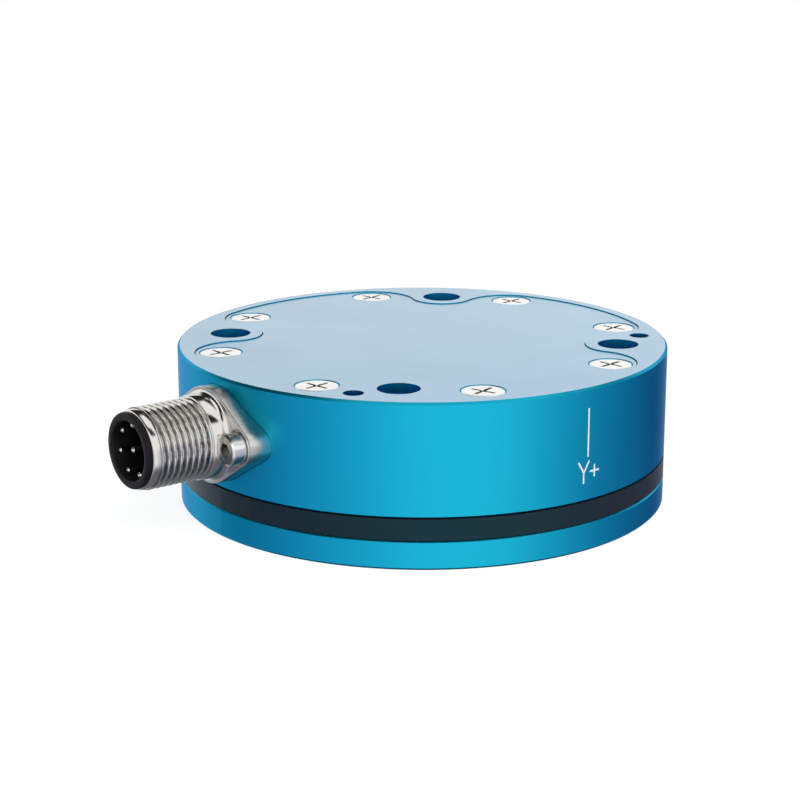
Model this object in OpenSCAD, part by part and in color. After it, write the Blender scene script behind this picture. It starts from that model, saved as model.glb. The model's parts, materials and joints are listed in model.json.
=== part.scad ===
// Six-axis force torque sensor: a round, low aluminium body in two halves.
// The upper half (housing) carries the electronics and a radial circular connector.
// The lower half (tool flange) carries the tool. An elastomer ring closes the gap
// between them, and a cross-beam sensing element is the only load path across it.
// Origin: centre of the tool face. +Z: up to the mounting face. +X: out of the connector.

/* [Body] */
// Outer diameter of the housing and the tool flange
body_d = 75; // [74:0.5:80]
// Overall height, tool face to mounting face
body_h = 24.25; // [24:0.25:28]
// Height of the tool flange's outer edge
flange_edge_h = 4.4; // [4:0.1:6]
// Height of the elastomer ring in the gap
seal_h = 3.1; // [2.5:0.1:3.6]
// Radial width of the elastomer ring
seal_w = 3.4; // [2:0.1:3.8]
// Radial room between the elastomer ring and the flange's plateau
seal_room = 0.6; // [0.3:0.1:1]
// Chamfer on the outer edges
edge_chamfer = 0.35; // [0.1:0.05:0.6]

/* [Mounting face] */
// Distance from the outer wall to the mounting holes
mount_in = 7.5; // [7:0.1:7.9]
// Diameter of the smooth mouth of a mounting hole
mount_mouth_d = 6.2; // [6:0.1:6.6]
// Depth of the smooth mouth
mount_mouth_h = 1.8; // [1:0.1:3]
// Core diameter of the mounting threads (M6)
mount_core_d = 5; // [4.2:0.1:5.2]
// Depth of the mounting threads under the mouth
mount_core_h = 9; // [6:0.5:10]
// Distance from the outer wall to the locating pin holes
dowel_in = 3.8; // [3.3:0.1:3.9]
// Angle between a locating pin hole and the mounting hole beside it
dowel_turn = 10.2; // [9.8:0.1:10.3]
// Diameter of the locating pin holes
dowel_d = 3; // [2:0.5:3]
// Depth of the locating pin holes
dowel_h = 6; // [4:0.5:8]

/* [Cover] */
// Width of the mounting face outside the cover plate
cover_edge_w = 2.2; // [2:0.1:2.5]
// Thickness of the cover plate
cover_t = 2; // [1.8:0.1:2.2]
// How far the cover plate lies below the mounting face
cover_sink = 0.15; // [0.1:0.05:0.4]
// Gap all round between the cover plate and its recess
cover_gap = 0.15; // [0.1:0.05:0.25]
// Radius of the cover's notch round a mounting hole
notch_r = 5.1; // [4.8:0.1:5.5]
// Radius that rounds the cover's corners beside a notch
notch_fillet = 7; // [6:0.5:7.5]
// Thickness of the gasket under the cover
gasket_t = 0.3; // [0.2:0.05:0.5]
// Distance from the cover's edge to its screws
cover_screw_in = 3.9; // [3.5:0.1:4.3]
// Angle between a cover screw and the mounting hole beside it
cover_screw_turn = 22; // [21.5:0.5:23]
// Head diameter of the cover screws (M3)
cover_head_d = 6.3; // [5.5:0.1:6.4]
// Length of the cover screws
cover_screw_l = 7; // [5:0.5:8]
// How far the cover screws' heads lie below the cover's face
cover_head_sink = 0.05; // [0:0.05:0.2]

/* [Sensing element] */
// Step from the chamber's wall in to the element's rim
rim_in = 1; // [0.8:0.1:1.2]
// Radial width of the element's rim
rim_w = 6; // [5.8:0.1:6.2]
// Diameter of the hub
hub_d = 20; // [19:0.5:22]
// Width of a cross beam
beam_w = 4.5; // [3:0.25:5.5]
// Radius in the corners of the windows between the beams
window_fillet = 2; // [1:0.25:2.5]
// Thickness of the thin leaf that ends each beam
leaf_t = 0.9; // [0.6:0.1:1.2]
// Width of the slot behind a leaf
slot_w = 1.2; // [0.8:0.1:1.4]
// Angle of a slot to each side of its beam
slot_half_angle = 14; // [10:1:16]
// Gap under the rim, above the housing's lower face
rim_rise = 0.25; // [0.1:0.05:0.5]
// Gap between the tool flange's plateau and the housing (overload stop)
stop_gap = 0.6; // [0.3:0.05:0.8]
// Height of the housing's inner ledge, to which the rim is bolted
ledge_h = 2.75; // [2.5:0.25:3]
// Distance from the rim's outer edge to its screws
rim_screw_in = 3; // [2.9:0.1:3.2]
// Angle between a rim screw and the nearest mounting hole
rim_screw_turn = 10; // [8:1:12]
// Depth of the rim screws' thread in the ledge
rim_screw_hold = 2.3; // [1.8:0.1:2.3]
// Radius at which the hub screws lie
hub_screw_r = 6; // [5.9:0.1:6.2]
// Solid left over the hub screws and pins, under the hub's top
hub_roof = 1.45; // [1.2:0.05:2]
// Radius at which the hub pins lie
hub_pin_r = 7.8; // [7.7:0.1:8]
// Diameter of the hub pins
hub_pin_d = 2; // [1.5:0.25:2]
// How much shorter than the hub screws the hub pins are
hub_pin_short = 1; // [0.5:0.25:3]

/* [Strain gauges] */
// Share of a beam's straight sides that a strain gauge covers
gauge_share = 0.47; // [0.3:0.01:0.6]
// Width of a strain gauge
gauge_w = 2; // [1:0.1:2.5]
// Thickness of a strain gauge with its carrier foil
gauge_t = 0.1; // [0.05:0.01:0.15]
// Diameter of a gauge lead
lead_d = 0.3; // [0.2:0.05:0.4]
// Radius of the bend in a lead
lead_bend = 0.8; // [0.6:0.1:1.5]
// Distance from a lead's rise to the rim's inner wall
lead_room = 0.6; // [0.4:0.1:1]

/* [Tool face] */
// Diameter of the centring recess
pilot_d = 31.5; // [30:0.5:33]
// Depth of the centring recess
pilot_h = 2.5; // [1.5:0.25:3]
// Bolt circle of the tool holes
tool_pcd = 50; // [48:1:54]
// Core diameter of the tool threads (M6)
tool_core_d = 5; // [4.2:0.1:5.2]
// Depth of the tool threads
tool_core_h = 6; // [5:0.25:6.25]
// Diameter of the tool's locating pin hole
tool_dowel_d = 6; // [4:0.5:6]
// Depth of the tool's locating pin hole
tool_dowel_h = 5; // [4:0.5:6]

/* [Electronics] */
// Height of the standoffs under the circuit board
standoff_h = 1.7; // [1.2:0.1:2]
// Diameter of the standoffs
standoff_d = 4.4; // [4:0.1:5]
// Distance from the chamber's wall to the standoffs
standoff_in = 3.5; // [3.2:0.1:4]
// Angle between a standoff and the nearest main axis
standoff_turn = 18; // [16:1:20]
// Thickness of the circuit board
board_t = 1.6; // [1:0.1:1.6]
// Room all round between the circuit board and the housing's chamber
board_room = 0.8; // [0.5:0.1:1.2]
// Height between the circuit board and the cover's gasket, for the chips
chip_room = 2.5; // [2.1:0.1:2.6]
// Length of a M2 board screw
board_screw_l = 5; // [4:0.25:5.25]

/* [Connector] */
// Height of the connector's axis above the middle of the housing's wall
plug_lift = 0.05; // [0:0.05:0.3]
// Major diameter of the coupling thread (M12)
thread_d = 11.9; // [11.7:0.1:12]
// Distance from the outer wall to the connector's front edge
plug_out = 15.2; // [14.6:0.1:18]
// Length of the coupling thread
thread_l = 8.5; // [7:0.1:8.5]
// Length of the plain collar in front of the thread
collar_l = 1.2; // [0.8:0.1:2]
// Diameter of the plain collar
collar_d = 11.5; // [11.3:0.1:11.5]
// Diameter of the plain neck behind the thread
neck_d = 12.3; // [12.3:0.1:12.5]
// Radius where the neck meets the flange
neck_fillet = 0.7; // [0.4:0.1:1]
// Bevel on the connector's front edge
thread_bevel = 0.3; // [0.2:0.05:0.4]
// Diameter of the shoulder in the middle of the connector's flange
shoulder_d = 14.2; // [13.8:0.1:14.2]
// Distance from the connector's axis to a flange screw
ear_out = 8.2; // [8.2:0.1:8.4]
// Radius of the ends of the connector's flange
ear_r = 2.7; // [2.6:0.1:2.9]
// Depth of the flat on which the connector sits
pocket_in = 1.6; // [1.5:0.05:1.7]
// Thickness of the connector's flange
plug_flange_t = 3.8; // [3.5:0.1:4.2]
// Length of the flange screws (M2.5)
plug_screw_l = 8; // [7:0.5:9]
// Depth of the spot faces under the flange screws' heads
spot_h = 0.3; // [0.2:0.1:1]
// Diameter of the contact insert
insert_d = 9.4; // [9.2:0.1:9.5]
// How far the insert reaches behind the flat
insert_in = 5; // [4:0.1:5]
// Depth of the sealing compound behind the insert
potting_l = 2.7; // [2:0.1:2.7]
// Length of the contacts' tails in the sealing compound
tail_l = 1.6; // [1:0.1:1.8]
// Outer diameter of the insert's front lip
lip_d = 11; // [10.6:0.1:11.2]
// Thickness of the insert's front lip
lip_t = 0.8; // [0.5:0.1:1.2]
// Wall of the insert's cup
cup_wall = 0.4; // [0.3:0.05:0.45]
// Depth of the insert's cup
cup_h = 8.6; // [7:0.1:10]
// Diameter of a contact pin
contact_d = 0.8; // [0.6:0.05:0.8]
// Radius of the circle of contact pins
contact_r = 3.66; // [3.3:0.02:3.7]
// Number of contact pins on the circle, beside the one in the middle
contact_n = 7; // [4:1:7]
// How far the contact pins stay behind the front edge
contact_sink = 0.7; // [0.5:0.1:2]
// Thickness of the connector's gasket
plug_gasket_t = 0.5; // [0.4:0.05:0.8]
// Width of the flange's land round the connector's gasket
plug_gasket_in = 0.6; // [0.5:0.1:0.8]

/* [Clearances] */
// Radial clearance of a screw in its thread
thread_gap = 0.05; // [0.02:0.01:0.1]
// Radial clearance of a screw in its through hole
hole_gap = 0.15; // [0.1:0.05:0.2]
// Radial clearance of a screw head in its counterbore
head_gap = 0.15; // [0.1:0.05:0.2]
// Clearance of parts that locate each other
locate_gap = 0.05; // [0.02:0.01:0.1]
// Depth left under a screw or a pin in a blind hole
blind_room = 0.3; // [0.2:0.1:0.5]

/* [Hidden] */
$fn = 96;

eps = 0.01;
// Arcs that run into each other overlap by this much, so that they meet in one clean edge
bite = 0.005;
quarter = [0, 90, 180, 270];
mount_turn = 45;

// Radii
body_r = body_d / 2;
plateau_r = body_r - seal_w - seal_room;
mount_r = body_r - mount_in;
dowel_r = body_r - dowel_in;
cover_r = body_r - cover_edge_w;
cover_screw_r = cover_r - cover_screw_in;

// Levels, from the tool face up to the rim and from the mounting face down to the ledge
housing_z = flange_edge_h + seal_h;
plateau_z = housing_z - stop_gap;
rim_z = housing_z + rim_rise;
cover_top_z = body_h - cover_sink;
cover_z = cover_top_z - cover_t;
seat_z = cover_z - gasket_t;
board_top_z = seat_z - chip_room;
board_z = board_top_z - board_t;
ledge_top_z = board_z - standoff_h;
rim_top_z = ledge_top_z - ledge_h;
element_h = rim_top_z - rim_z;
plug_z = (housing_z + body_h) / 2 + plug_lift;

// Chamber in the housing: a seat wide enough for the cover screws, and pillars round the
// mounting holes
seat_w = 1.7;
chamber_r = cover_r - 2 * cover_screw_in;
pillar_r = notch_r + seat_w;
board_r = chamber_r - board_room;
standoff_r = chamber_r - standoff_in;

// Sensing element, inside the ledge
rim_r = chamber_r - rim_in;
rim_inner_r = rim_r - rim_w;
rim_screw_r = rim_r - rim_screw_in;
hub_r = hub_d / 2;

// Fastener proportions: [thread, head diameter, head height, key width]
m2 = [2, 3.8, 1.3, 1.3];
m25 = [2.5, 4.5, 2.5, 2];
m3 = [3, cover_head_d, (cover_head_d - 3) / 2, 0.75];
m4 = [4, 8, 2, 2.5];
rim_head_room = 0.3;
rim_head_h = m25[2] + rim_head_room;
rim_screw_l = element_h - rim_head_h + rim_screw_hold;
hub_screw_l = rim_top_z - hub_roof - blind_room - pilot_h;
hub_pin_l = hub_screw_l - hub_pin_short;

// Connector, along its own axis: the shell, then the insert and what lies behind it
pocket_x = body_r - pocket_in;
plug_reach = body_r + plug_out;
plug_front_x = plug_reach - lip_t;
thread_x = plug_front_x - collar_l - thread_l;
plug_flange_x = pocket_x + plug_flange_t;
spot_x = plug_flange_x - spot_h;
contact_x = plug_reach - contact_sink;
cup_x = plug_reach - cup_h;
insert_back_x = pocket_x - insert_in;
tail_x = insert_back_x - tail_l;
potting_x = insert_back_x - potting_l;
barrel_gap = 0.1;
bore_end_x = potting_x - barrel_gap;

// Flexible circuit behind the connector, and the window for it in the chamber's wall
flex_w = 5;
flex_t = 0.3;
flex_rise = 0.3;
flex_l = 8.1;
flex_end_x = potting_x - flex_l;
window_room = 0.15;
window_sill = 0.4;
window_w = flex_w + 2 * window_room;
window_l = 3;
window_h = board_top_z + flex_rise + flex_t + window_room - ledge_top_z - window_sill;

// Step from the hub to its foot
hub_step = 0.5;

// Straight stretch of a beam's side, between the rounded corners of its windows, and the
// gauge in the middle of it
beam_side = beam_w / 2 + window_fillet;
straight_start = sqrt(pow(hub_r + window_fillet, 2) - pow(beam_side, 2));
straight_end = sqrt(pow(rim_inner_r - window_fillet, 2) - pow(beam_side, 2));
gauge_l = gauge_share * (straight_end - straight_start);
gauge_end_r = (straight_start + straight_end + gauge_l) / 2;
board_tap_z = board_top_z - board_screw_l - blind_room;

// Sizes of the chips: [length, width, height]
processor = [9, 9, 1.2];
amplifier = [5, 4, 1.1];
converter = [7, 5, 1.2];
coil = [5, 5, 1.9];
capacitor = [1.6, 3.2, 1.3];
socket = [3, 8, 1.2];

// Places of the chips' centres on the board, in steps of a tenth of its radius
chip_step = board_r / 10;
processor_at = [0.75, -3];
amplifiers_at = [[-4.5, 0.75], [-4.5, 3], [-4.5, 5.25]];
converter_at = [-0.75, 2];
coil_at = [-5, -3.5];
capacitors_at = [[3, 4.5], [4.1, 4.5], [5.2, 4.5], [-3, -6.4], [-1.9, -6.4]];

cyan = [0.10, 0.56, 0.78];
pale_cyan = [0.62, 0.77, 0.86];

// ---------------------------------------------------------------- helpers

// Copies on the four main axes, turned by a
module at_quarters(a = 0, r = 0) {
    for (q = quarter) rotate(q + a) translate([r, 0, 0]) children();
}

// Copies in pairs, one to each side of every mounting hole
module beside_mounts(turn, r) {
    for (side = [-1, 1]) at_quarters(mount_turn + side * turn, r) children();
}

// Things built along +Z, laid along the connector's axis
module along_plug(x = 0) {
    translate([x, 0, plug_z]) rotate([90, 0, 90]) children();
}

// Plane sector between the angles a and b
module sector(r, a, b) {
    far = r / cos((b - a) / 2);
    polygon([[0, 0], far * [cos(a), sin(a)], far * [cos(b), sin(b)]]);
}

module ring(r_out, r_in, h) {
    difference() {
        cylinder(r = r_out, h = h);
        translate([0, 0, -eps]) cylinder(r = r_in, h = h + 2 * eps);
    }
}

// Disc with a notch round each mounting hole. The corners are rounded by circles that
// touch the disc's edge from inside and the notch from outside. grow moves the outline out.
module notched_disc(r_out, r_notch, r_fillet, grow = 0) {
    c_far = r_out - r_fillet;
    c_near = r_notch + r_fillet;
    turn = acos((pow(c_far, 2) + pow(mount_r, 2) - pow(c_near, 2)) / (2 * c_far * mount_r));
    centre = c_far * [cos(turn), sin(turn)];
    touch = [mount_r, 0] + (centre - [mount_r, 0]) * (r_notch - grow - bite) / c_near;
    outside = centre * (r_out + r_fillet) / c_far;
    difference() {
        circle(r = r_out + grow);
        at_quarters(mount_turn) {
            translate([mount_r, 0]) circle(r = r_notch - grow);
            difference() {
                polygon([
                    [touch.x, -touch.y], [centre.x, -centre.y], [outside.x, -outside.y],
                    [outside.x, outside.y], [centre.x, centre.y], [touch.x, touch.y]
                ]);
                for (side = [-1, 1])
                    translate([centre.x, side * centre.y]) circle(r = r_fillet + grow + bite);
            }
        }
    }
}

module cover_outline(grow = 0) {
    notched_disc(cover_r, notch_r, notch_fillet, grow);
}

// Plan of the chamber under the cover
module chamber_outline(grow = 0) {
    difference() {
        circle(r = chamber_r + grow);
        at_quarters(mount_turn, mount_r) circle(r = pillar_r - grow);
    }
}

// Oval two-screw flange: a middle circle, two ears and the straight edges that touch them
module ear_outline(grow = 0) {
    lean = asin((shoulder_d / 2 - ear_r) / ear_out);
    mid = (shoulder_d / 2 + grow - bite) * [sin(lean), cos(lean)];
    end = [ear_out, 0] + (ear_r + grow - bite) * [sin(lean), cos(lean)];
    circle(r = shoulder_d / 2 + grow);
    for (side = [-1, 1]) translate([side * ear_out, 0]) circle(r = ear_r + grow);
    polygon([
        [mid.x, mid.y], [end.x, end.y], [end.x, -end.y], [mid.x, -mid.y],
        [-mid.x, -mid.y], [-end.x, -end.y], [-end.x, end.y], [-mid.x, mid.y]
    ]);
}

// Socket cap screw: seat of the head at the origin, thread towards -Z
module cap_screw(size, l) {
    bevel = 0.25;
    difference() {
        union() {
            cylinder(d = size[1], h = size[2] - bevel);
            translate([0, 0, size[2] - bevel])
                cylinder(d1 = size[1], d2 = size[1] - 2 * bevel, h = bevel);
            translate([0, 0, -l]) cylinder(d = size[0], h = l + eps);
        }
        translate([0, 0, size[2] * 0.45])
            cylinder(d = size[3] / cos(30), h = size[2], $fn = 6);
    }
}

// Flat head screw: top of the head at the origin, thread towards -Z. key: "cross" or "hex"
module flat_screw(size, l, key) {
    depth = size[2] * 0.7;
    difference() {
        union() {
            translate([0, 0, -size[2]]) cylinder(d1 = size[0], d2 = size[1], h = size[2]);
            translate([0, 0, -l]) cylinder(d = size[0], h = l - size[2] + eps);
        }
        if (key == "hex")
            translate([0, 0, -depth]) cylinder(d = size[3] / cos(30), h = size[2], $fn = 6);
        else
            for (a = [0, 90]) rotate(a)
                translate([-size[1] * 0.3, -size[3] / 2, -depth])
                    cube([size[1] * 0.6, size[3], size[2]]);
    }
}

// Seat for a flat head with the same top level
module flat_seat(size) {
    grown = size[1] / 2 + head_gap;
    translate([0, 0, -grown]) cylinder(r1 = 0, r2 = grown, h = grown);
}

// ---------------------------------------------------------------- housing and cover

module housing_blank() {
    rotate_extrude()
        polygon([
            [0, housing_z], [body_r - edge_chamfer, housing_z],
            [body_r, housing_z + edge_chamfer], [body_r, body_h - edge_chamfer],
            [body_r - edge_chamfer, body_h], [0, body_h]
        ]);
}

module housing() {
    seat_bore = rim_r + locate_gap;
    cover_tap = cover_top_z - cover_head_sink - cover_screw_l - blind_room;
    rim_tap_h = rim_screw_hold + blind_room;
    color(cyan) difference() {
        housing_blank();
        // Recess for the cover, chamber, opening in the ledge and seat of the element
        translate([0, 0, seat_z]) linear_extrude(body_h) cover_outline(cover_gap);
        translate([0, 0, ledge_top_z]) linear_extrude(body_h) chamber_outline();
        translate([0, 0, housing_z - eps]) cylinder(r = rim_inner_r, h = body_h);
        translate([0, 0, housing_z - eps]) cylinder(r = seat_bore, h = rim_top_z - housing_z + eps);
        // Mounting holes: smooth mouth, thread core under it
        at_quarters(mount_turn, mount_r) {
            translate([0, 0, body_h - mount_mouth_h]) cylinder(d = mount_mouth_d, h = body_h);
            translate([0, 0, body_h - mount_mouth_h - mount_core_h])
                cylinder(d = mount_core_d, h = body_h);
        }
        // Locating pin holes beside the mounting holes at +Y
        for (a = [mount_turn - dowel_turn, 180 - mount_turn + dowel_turn])
            rotate(a) translate([dowel_r, 0, body_h - dowel_h]) cylinder(d = dowel_d, h = body_h);
        // Threads for the cover, the element and the circuit board
        beside_mounts(cover_screw_turn, cover_screw_r)
            translate([0, 0, cover_tap]) cylinder(d = m3[0] + 2 * thread_gap, h = body_h);
        beside_mounts(rim_screw_turn, rim_screw_r)
            translate([0, 0, rim_top_z - eps])
                cylinder(d = m25[0] + 2 * thread_gap, h = rim_tap_h);
        at_quarters(standoff_turn, standoff_r)
            translate([0, 0, board_tap_z]) cylinder(d = m2[0] + 2 * thread_gap, h = body_h);
        // Flat, bore, window and threads for the connector
        along_plug(pocket_x) linear_extrude(body_r) ear_outline(locate_gap);
        along_plug(bore_end_x) cylinder(d = insert_d + 2 * barrel_gap, h = body_r);
        translate([chamber_r - window_l / 2, -window_w / 2, ledge_top_z + window_sill])
            cube([window_l, window_w, window_h]);
        for (side = [-1, 1])
            along_plug(spot_x - plug_screw_l - blind_room)
                translate([side * ear_out, 0, 0]) cylinder(d = m25[0] + 2 * thread_gap, h = body_r);
    }
}

module cover_plate() {
    color(pale_cyan) difference() {
        translate([0, 0, cover_z]) linear_extrude(cover_t) cover_outline();
        beside_mounts(cover_screw_turn, cover_screw_r) {
            translate([0, 0, cover_z - eps]) cylinder(d = m3[0] + 2 * hole_gap, h = body_h);
            translate([0, 0, cover_top_z - cover_head_sink]) flat_seat(m3);
            translate([0, 0, cover_top_z - cover_head_sink - eps])
                cylinder(d = m3[1] + 2 * head_gap, h = body_h);
        }
    }
}

module cover_gasket() {
    color([0.12, 0.12, 0.12]) difference() {
        translate([0, 0, seat_z]) linear_extrude(gasket_t) difference() {
            cover_outline();
            chamber_outline();
        }
        beside_mounts(cover_screw_turn, cover_screw_r)
            translate([0, 0, seat_z - eps]) cylinder(d = m3[0] + 2 * hole_gap, h = body_h);
    }
}

module cover_screws() {
    color("silver") beside_mounts(cover_screw_turn, cover_screw_r)
        translate([0, 0, cover_top_z - cover_head_sink]) flat_screw(m3, cover_screw_l, "cross");
}

// ---------------------------------------------------------------- seal and tool flange

module seal_ring() {
    groove_r = seal_h / 5;
    color([0.09, 0.09, 0.09]) rotate_extrude() difference() {
        translate([body_r - seal_w, flange_edge_h]) square([seal_w, seal_h]);
        translate([body_r - seal_w, flange_edge_h + seal_h / 2]) circle(r = groove_r);
    }
}

module flange_blank() {
    rotate_extrude()
        polygon([
            [0, 0], [body_r - edge_chamfer, 0], [body_r, edge_chamfer],
            [body_r, flange_edge_h - edge_chamfer], [body_r - edge_chamfer, flange_edge_h],
            [plateau_r, flange_edge_h], [plateau_r, plateau_z], [0, plateau_z]
        ]);
}

module tool_flange() {
    color(cyan) difference() {
        flange_blank();
        translate([0, 0, -eps]) cylinder(d = pilot_d, h = pilot_h + eps);
        at_quarters(mount_turn, tool_pcd / 2)
            translate([0, 0, -eps]) cylinder(d = tool_core_d, h = tool_core_h + eps);
        translate([tool_pcd / 2, 0, -eps]) cylinder(d = tool_dowel_d, h = tool_dowel_h + eps);
        at_quarters(0, hub_screw_r) {
            cylinder(d = m4[0] + 2 * hole_gap, h = body_h);
            translate([0, 0, pilot_h]) mirror([0, 0, 1]) flat_seat(m4);
        }
        for (a = [mount_turn, mount_turn + 180])
            rotate(a) translate([hub_pin_r, 0, 0])
                cylinder(d = hub_pin_d + 2 * locate_gap, h = body_h);
    }
}

// ---------------------------------------------------------------- sensing element

// One of the four windows between the cross beams, with rounded corners
module window_outline() {
    r_in = hub_r;
    r_out = rim_inner_r;
    r = window_fillet;
    side = beam_side;
    far = straight_end;
    near = straight_start;
    // Middle, then the strips along the beams, the rim and the hub, then the corners
    difference() {
        intersection() {
            circle(r = r_out - r);
            translate([side, side]) square(r_out);
        }
        circle(r = r_in + r);
    }
    translate([near, side - r]) square([far - near, r + eps]);
    translate([side - r, near]) square([r + eps, far - near]);
    for (edge = [[r_out - r - eps, r_out, far], [r_in, r_in + r + eps, near]])
        intersection() {
            difference() {
                circle(r = edge[1]);
                circle(r = edge[0]);
            }
            sector(r_out, atan2(side, edge[2]), 90 - atan2(side, edge[2]));
        }
    for (c = [[far, side], [side, far], [near, side], [side, near]])
        translate(c) circle(r = r + bite);
}

// Slot with round ends behind a leaf
module slot_outline() {
    mid = rim_inner_r + leaf_t + slot_w / 2;
    intersection() {
        difference() {
            circle(r = mid + slot_w / 2);
            circle(r = mid - slot_w / 2);
        }
        sector(rim_r, -slot_half_angle, slot_half_angle);
    }
    for (a = [-slot_half_angle, slot_half_angle])
        rotate(a) translate([mid, 0]) circle(d = slot_w + 2 * bite);
}

module sensing_element() {
    hub_tap_h = hub_screw_l - (plateau_z - pilot_h) + blind_room;
    hub_pin_h = hub_pin_l - (plateau_z - pilot_h) + blind_room;
    color([0.82, 0.83, 0.85]) difference() {
        union() {
            translate([0, 0, rim_z]) cylinder(r = rim_r, h = element_h);
            translate([0, 0, plateau_z])
                cylinder(r = hub_r - hub_step, h = rim_z - plateau_z + eps);
        }
        translate([0, 0, rim_z - eps]) linear_extrude(element_h + 2 * eps) at_quarters() {
            window_outline();
            slot_outline();
        }
        beside_mounts(rim_screw_turn, rim_screw_r) {
            translate([0, 0, rim_z - eps]) cylinder(d = m25[0] + 2 * hole_gap, h = body_h);
            translate([0, 0, rim_z - eps])
                cylinder(d = m25[1] + 2 * head_gap, h = rim_head_h + eps);
        }
        at_quarters(0, hub_screw_r)
            translate([0, 0, plateau_z - eps]) cylinder(d = m4[0] + 2 * thread_gap, h = hub_tap_h + eps);
        for (a = [mount_turn, mount_turn + 180])
            rotate(a) translate([hub_pin_r, 0, plateau_z - eps])
                cylinder(d = hub_pin_d + 2 * locate_gap, h = hub_pin_h + eps);
    }
}

module rim_screws() {
    color("dimgray") beside_mounts(rim_screw_turn, rim_screw_r)
        translate([0, 0, rim_z + rim_head_h])
            mirror([0, 0, 1]) cap_screw(m25, rim_screw_l);
}

module hub_screws() {
    color("dimgray") at_quarters(0, hub_screw_r)
        translate([0, 0, pilot_h]) mirror([0, 0, 1]) flat_screw(m4, hub_screw_l, "hex");
}

module hub_pins() {
    color("silver") for (a = [mount_turn, mount_turn + 180])
        rotate(a) translate([hub_pin_r, 0, pilot_h]) cylinder(d = hub_pin_d, h = hub_pin_l);
}

// Four gauges on each beam: top, bottom and both sides
module strain_gauges() {
    near = gauge_end_r - gauge_l;
    color([0.85, 0.55, 0.2]) at_quarters() {
        for (z = [rim_top_z, rim_z - gauge_t])
            translate([near, -gauge_w / 2, z]) cube([gauge_l, gauge_w, gauge_t]);
        for (y = [beam_w / 2, -beam_w / 2 - gauge_t])
            translate([near, y, rim_z + (element_h - gauge_w) / 2])
                cube([gauge_l, gauge_t, gauge_w]);
    }
}

// Leads along the top of each beam, then up inside the ledge to the circuit board
module gauge_leads() {
    lead_r = lead_d / 2;
    rise_r = rim_inner_r - lead_room;
    low_z = rim_top_z + lead_r;
    color([0.7, 0.2, 0.1]) at_quarters() for (k = [-1.5:1.5])
        translate([0, k * beam_w / 5, 0]) {
            translate([rise_r - lead_bend, 0, low_z]) rotate([0, -90, 0])
                cylinder(r = lead_r, h = rise_r - lead_bend - gauge_end_r);
            translate([rise_r - lead_bend, 0, low_z + lead_bend]) rotate([90, 0, 0])
                rotate_extrude(angle = -90) translate([lead_bend, 0]) circle(r = lead_r);
            translate([rise_r, 0, low_z + lead_bend])
                cylinder(r = lead_r, h = board_z - low_z - lead_bend);
        }
}

// ---------------------------------------------------------------- electronics

module circuit_board() {
    color([0.08, 0.35, 0.2]) difference() {
        translate([0, 0, board_z]) linear_extrude(board_t) chamber_outline(-board_room);
        at_quarters(standoff_turn, standoff_r)
            translate([0, 0, board_z - eps]) cylinder(d = m2[0] + 2 * hole_gap, h = body_h);
    }
}

module board_standoffs() {
    color("goldenrod") at_quarters(standoff_turn, standoff_r)
        translate([0, 0, ledge_top_z]) ring(standoff_d / 2, m2[0] / 2 + hole_gap, standoff_h);
}

module board_screws() {
    color("silver") at_quarters(standoff_turn, standoff_r)
        translate([0, 0, board_top_z]) cap_screw(m2, board_screw_l);
}

// Flat chips with their bases on the board and their centres at the given places
module chips(places, size) {
    for (p = places)
        translate([p.x * chip_step - size.x / 2, p.y * chip_step - size.y / 2, board_top_z])
            cube(size);
}

module processor_chip() {
    color([0.12, 0.12, 0.13]) chips([processor_at], processor);
}

module amplifier_chips() {
    color([0.14, 0.14, 0.15]) chips(amplifiers_at, amplifier);
}

module converter_chip() {
    color([0.13, 0.13, 0.14]) chips([converter_at], converter);
}

module regulator_coil() {
    color([0.25, 0.25, 0.26]) chips([coil_at], coil);
}

module capacitors() {
    color([0.6, 0.5, 0.38]) chips(capacitors_at, capacitor);
}

module flex_socket() {
    color([0.85, 0.82, 0.74]) chips([[(flex_end_x - socket.x / 2) / chip_step, 0]], socket);
}

// ---------------------------------------------------------------- connector

module connector_shell() {
    bore_r = insert_d / 2 + locate_gap;
    gasket_r = shoulder_d / 2 - plug_gasket_in;
    color([0.8, 0.8, 0.8]) difference() {
        union() {
            along_plug(pocket_x) linear_extrude(plug_flange_t) ear_outline();
            along_plug() rotate_extrude() difference() {
                polygon([
                    [0, pocket_x + eps], [neck_d / 2 + neck_fillet, pocket_x + eps],
                    [neck_d / 2 + neck_fillet, plug_flange_x],
                    [neck_d / 2, plug_flange_x + neck_fillet], [neck_d / 2, thread_x],
                    [thread_d / 2, thread_x], [thread_d / 2, plug_front_x - collar_l],
                    [collar_d / 2, plug_front_x - collar_l],
                    [collar_d / 2, plug_front_x - thread_bevel],
                    [collar_d / 2 - thread_bevel, plug_front_x], [0, plug_front_x]
                ]);
                translate([neck_d / 2 + neck_fillet, plug_flange_x + neck_fillet])
                    circle(r = neck_fillet + bite);
            }
        }
        along_plug(pocket_x - eps) cylinder(r = bore_r, h = body_r);
        along_plug(pocket_x - eps) cylinder(r = gasket_r, h = plug_gasket_t + eps);
        for (side = [-1, 1]) {
            along_plug(pocket_x - eps) translate([side * ear_out, 0, 0])
                cylinder(d = m25[0] + 2 * hole_gap, h = body_r);
            along_plug(spot_x) translate([side * ear_out, 0, 0])
                cylinder(d = m25[1] + 2 * head_gap, h = m25[2] + blind_room);
        }
    }
}

module contact_places() {
    children();
    for (i = [0:contact_n - 1])
        rotate(90 + i * 360 / contact_n) translate([contact_r, 0, 0]) children();
}

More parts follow.
